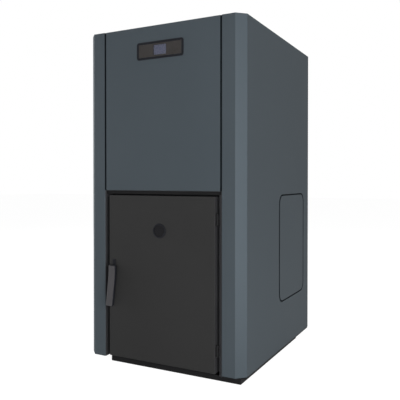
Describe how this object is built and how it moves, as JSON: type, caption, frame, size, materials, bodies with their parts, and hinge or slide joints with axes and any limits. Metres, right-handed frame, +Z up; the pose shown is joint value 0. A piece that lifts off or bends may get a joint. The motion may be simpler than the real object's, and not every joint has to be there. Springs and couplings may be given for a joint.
{
  "type": "pellet boiler",
  "caption": "Free-standing pellet boiler: folded steel cabinet with chamfered front corners, a hinged fire door with a peephole, a display, a side hatch and a hopper lid.",
  "frame": {"origin": "on the floor under the middle of the casing, on the plinth's bottom face", "axes": "+Z up, +X to the boiler's right seen from the front, -Y out of the front"},
  "size_m": [0.7, 0.8975, 1.354],
  "materials": {
    "casing_grey": "satin powder coat",
    "door_grey": "satin powder coat",
    "frame_black": "matt black paint",
    "black_plastic": "fine matt",
    "handle_grey": "satin",
    "display_dark": "smoked, glossy",
    "lcd_blue": "unlit screen",
    "seal_black": "matt",
    "gasket_rope": "woven glass rope",
    "wool": "mineral wool",
    "refractory": "pressed mineral board",
    "sight_glass": "smoked heat-proof glass",
    "plain_steel": "bare steel",
    "boiler_steel": "dull primer",
    "cast_iron": "rough cast",
    "zinc_sheet": "zinc coated",
    "pipe_steel": "turned steel",
    "motor_metal": "die cast"
  },
  "bodies": {
    "boiler": {"left_side_panel": "casing_grey", "right_side_panel": "casing_grey", "upper_front_panel": "casing_grey", "top_panel": "casing_grey", "base_plinth": "frame_black", "base_plate": "frame_black", "door_surround": "frame_black", "hinge_brackets": "frame_black", "latch_keeper": "frame_black", "hatch_frame": "frame_black", "rear_panel": "frame_black", "boiler_front_plate": "frame_black", "lid_hinge_brackets": "frame_black", "display_bezel": "black_plastic", "control_box": "black_plastic", "power_inlet": "black_plastic", "display_glass": "display_dark", "lcd_screen": "lcd_blue", "panel_seal_strips": "seal_black", "jacket_insulation": "wool", "rear_panel_screws": "plain_steel", "water_jacket": "boiler_steel", "firebox": "boiler_steel", "fire_tubes": "boiler_steel", "smoke_box": "boiler_steel", "smoke_collector": "boiler_steel", "cleaning_cover": "boiler_steel", "burner_box": "boiler_steel", "auger_trough": "boiler_steel", "drop_chute": "boiler_steel", "burner_pot": "cast_iron", "pellet_hopper": "zinc_sheet", "air_pipe": "zinc_sheet", "fan_housing": "zinc_sheet", "flue_pipe": "zinc_sheet", "flow_pipe": "pipe_steel", "return_pipe": "pipe_steel", "gear_motor": "motor_metal", "fan_motor": "motor_metal"},
    "door": {"door_panel": "door_grey", "door_insulation": "wool", "door_inner_plate": "plain_steel", "door_gasket": "gasket_rope", "door_refractory": "refractory", "peephole_ring": "black_plastic", "peephole_glass": "sight_glass", "sight_tube": "plain_steel", "door_hinge_knuckles": "frame_black", "handle_escutcheon": "black_plastic"},
    "handle": {"door_handle": "handle_grey", "latch_spindle": "plain_steel", "latch_tongue": "plain_steel"},
    "lid": {"hopper_lid": "casing_grey", "lid_seal": "seal_black"},
    "hatch": {"hatch_cover": "casing_grey", "hatch_studs": "plain_steel"},
    "drawer": {"ash_drawer": "zinc_sheet"},
    "auger": {"feed_auger": "plain_steel"},
    "fan": {"fan_impeller": "plain_steel"},
    "switch": {"main_switch": "black_plastic"}
  },
  "joints": [
    {"name": "door_hinge", "type": "hinge", "parent": "boiler", "child": "door", "pos_m": [0.244, -0.396, 0.114], "axis": [0, 0, 1], "range_deg": [0, 110]},
    {"name": "handle_turn", "type": "hinge", "parent": "door", "child": "handle", "pos_m": [-0.214, -0.404, 0.386], "axis": [0, -1, 0], "range_deg": [0, 90]},
    {"name": "lid_hinge", "type": "hinge", "parent": "boiler", "child": "lid", "pos_m": [0, 0.3896, 1.3453], "axis": [-1, 0, 0], "range_deg": [0, 85]},
    {"name": "hatch_pull", "type": "slide", "parent": "boiler", "child": "hatch", "axis": [1, 0, 0], "range_m": [0, 0.15]},
    {"name": "ash_drawer_slide", "type": "slide", "parent": "boiler", "child": "drawer", "axis": [0, -1, 0], "range_m": [0, 0.09]},
    {"name": "auger_spin", "type": "hinge", "parent": "boiler", "child": "auger", "pos_m": [0, 0.15, 0.556], "axis": [0, -1, 0], "continuous": true},
    {"name": "fan_spin", "type": "hinge", "parent": "boiler", "child": "fan", "pos_m": [0.12, 0.1, 0.125], "axis": [0, 1, 0], "continuous": true},
    {"name": "main_switch_rock", "type": "hinge", "parent": "boiler", "child": "switch", "pos_m": [0.255, 0.3975, 0.914], "axis": [-1, 0, 0], "range_deg": [0, 14]}
  ]
}
